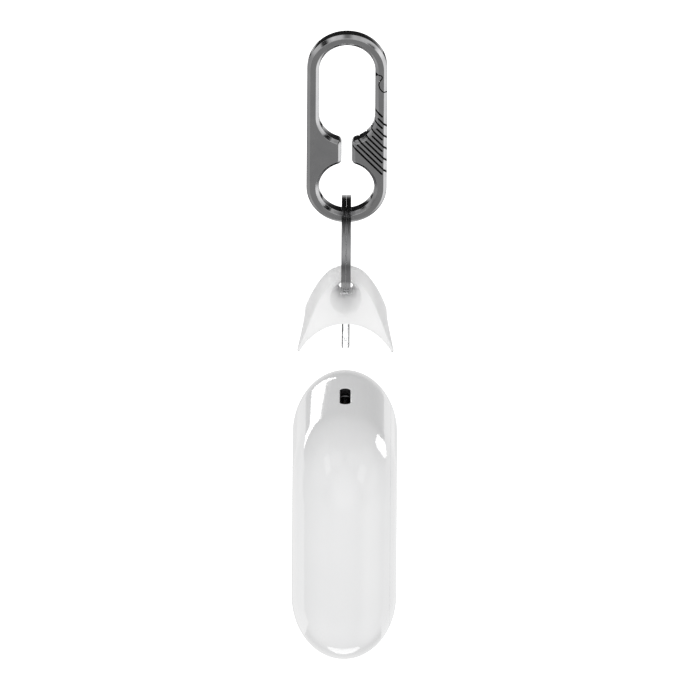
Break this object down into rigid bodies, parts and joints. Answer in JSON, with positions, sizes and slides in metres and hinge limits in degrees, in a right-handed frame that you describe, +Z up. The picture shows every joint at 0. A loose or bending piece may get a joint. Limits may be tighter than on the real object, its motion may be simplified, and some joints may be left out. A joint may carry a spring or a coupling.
{
  "type": "apex locator",
  "caption": "Pocket apex locator with a rounded white casing, top socket, silicone hood with a plug, split ring and one-piece steel carabiner.",
  "frame": {"origin": "the inner top of the carabiner's loop, where a hook or cord carries the hanging assembly", "axes": "+Z up along the hanging chain, -Y out of the carabiner's front face and the unit's narrow edge, +X out of the unit's display face"},
  "size_m": [0.0252, 0.0538, 0.1627],
  "materials": {
    "steel": "satin, bright chamfers",
    "ring_steel": "dark polished",
    "silicone": "translucent, matt",
    "clear_plastic": "clear",
    "white_gloss": "glossy",
    "lens": "polished dark window",
    "foam": "closed-cell foam",
    "panel": "satin",
    "grey_plastic": "matt",
    "flex": "polyimide film",
    "board": "solder mask",
    "tin": "tinned",
    "chip": "moulded",
    "cream_plastic": "moulded",
    "screw_steel": "zinc plated",
    "battery_wrap": "foil pouch",
    "socket_steel": "plated",
    "black_plastic": "moulded",
    "grey_button": "satin"
  },
  "bodies": {
    "carabiner": {"carabiner_frame": "steel", "gate_spring": "steel"},
    "gate": {"gate_arm": "steel"},
    "ring": {"split_ring": "ring_steel"},
    "hood": {"silicone_hood": "silicone", "hood_plug": "clear_plastic"},
    "device": {"rear_housing": "white_gloss", "front_cover": "white_gloss", "display_lens": "lens", "display_gasket": "foam", "display_panel": "panel", "display_tray": "grey_plastic", "display_flex": "flex", "display_connector": "grey_plastic", "main_board": "board", "shield_can": "tin", "measuring_chip": "chip", "charger_chip": "chip", "buzzer": "chip", "battery": "battery_wrap", "battery_pad": "foam", "battery_connector": "cream_plastic", "socket_shell": "socket_steel", "socket_tongue": "black_plastic", "tact_switch": "grey_plastic", "board_screw_1": "screw_steel", "board_screw_2": "screw_steel", "board_screw_3": "screw_steel", "board_screw_4": "screw_steel"},
    "button": {"power_button": "grey_button"},
    "plunger": {"switch_plunger": "black_plastic"}
  },
  "joints": [
    {"name": "gate_open", "type": "hinge", "parent": "carabiner", "child": "gate", "pos_m": [0.007, 0, -0.025], "axis": [0, -1, 0], "range_deg": [0, 13], "stiffness_Nm_per_rad": 0.05, "deforming": ["gate_spring"]},
    {"name": "ring_swing", "type": "hinge", "parent": "carabiner", "child": "ring", "pos_m": [0, 0, -0.04652], "axis": [1, 0, 0], "range_deg": [-25, 25]},
    {"name": "hood_swing", "type": "hinge", "parent": "ring", "child": "hood", "pos_m": [0, 0, -0.0653], "axis": [0, 1, 0], "range_deg": [-25, 25]},
    {"name": "unit_dock", "type": "slide", "parent": "hood", "child": "device", "axis": [0, 0, 1], "range_m": [0, 0.0225]},
    {"name": "button_press", "type": "slide", "parent": "device", "child": "button", "axis": [-1, 0, 0], "range_m": [0, 0.0004], "stiffness_N_per_m": 300},
    {"name": "plunger_press", "type": "slide", "parent": "device", "child": "plunger", "axis": [-1, 0, 0], "range_m": [0, 0.0004]}
  ],
  "couplings": [
    {"joint": "plunger_press", "follows": "button_press", "ratio": 1}
  ]
}
